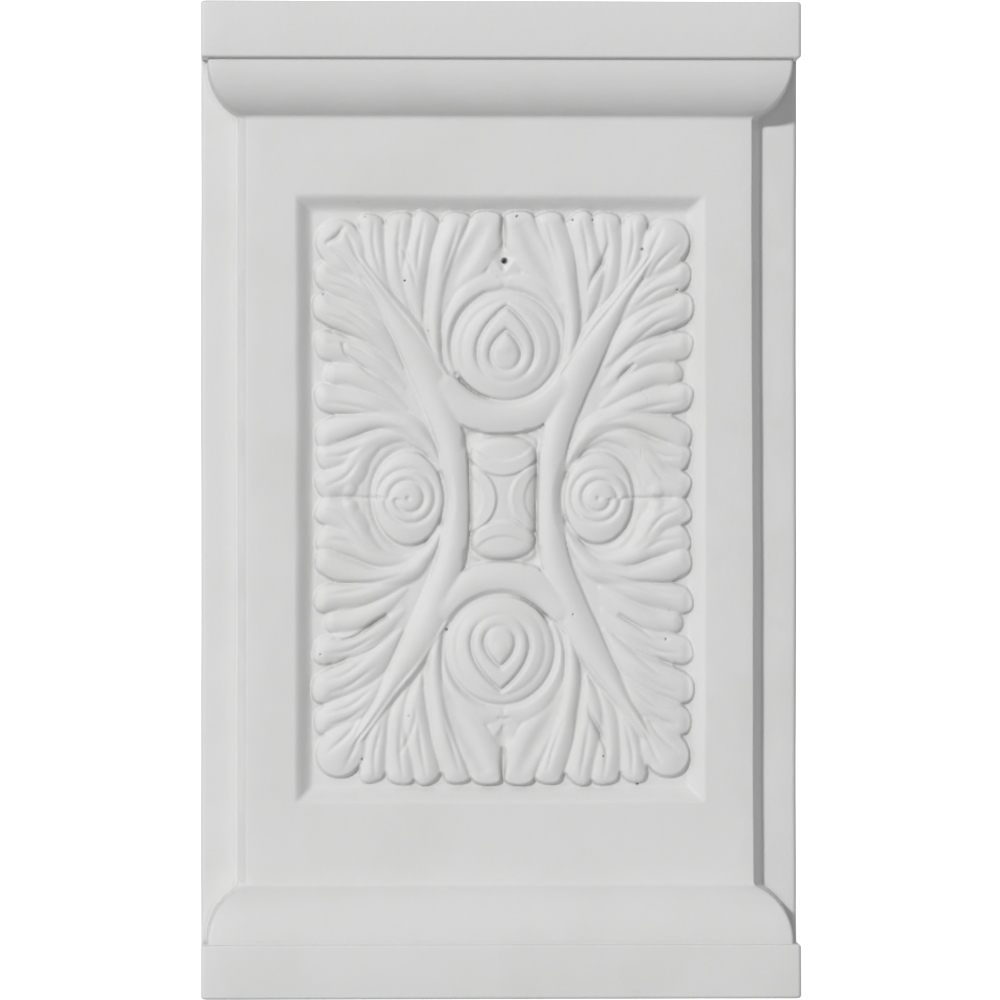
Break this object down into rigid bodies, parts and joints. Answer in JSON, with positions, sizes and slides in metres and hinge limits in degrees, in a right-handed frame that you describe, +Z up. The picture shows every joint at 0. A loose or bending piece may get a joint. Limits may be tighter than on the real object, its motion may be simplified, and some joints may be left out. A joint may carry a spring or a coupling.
{
  "type": "plinth block",
  "caption": "Upright moulded block with a flat back, a sunk panel of carved acanthus leaves and rosettes on its front, and the same cap and base moulding.",
  "frame": {"origin": "middle of the underside, at floor level", "axes": "+Z up the block, -Y out of the carved front, +Y into the wall, +X to the right as seen from the front"},
  "size_m": [0.1204, 0.0286, 0.2],
  "materials": {
    "primed_casting": "rigid high-density foam casting under a smooth matt white primer"
  },
  "bodies": {
    "root": {"plinth_block": "primed_casting"}
  },
  "joints": []
}
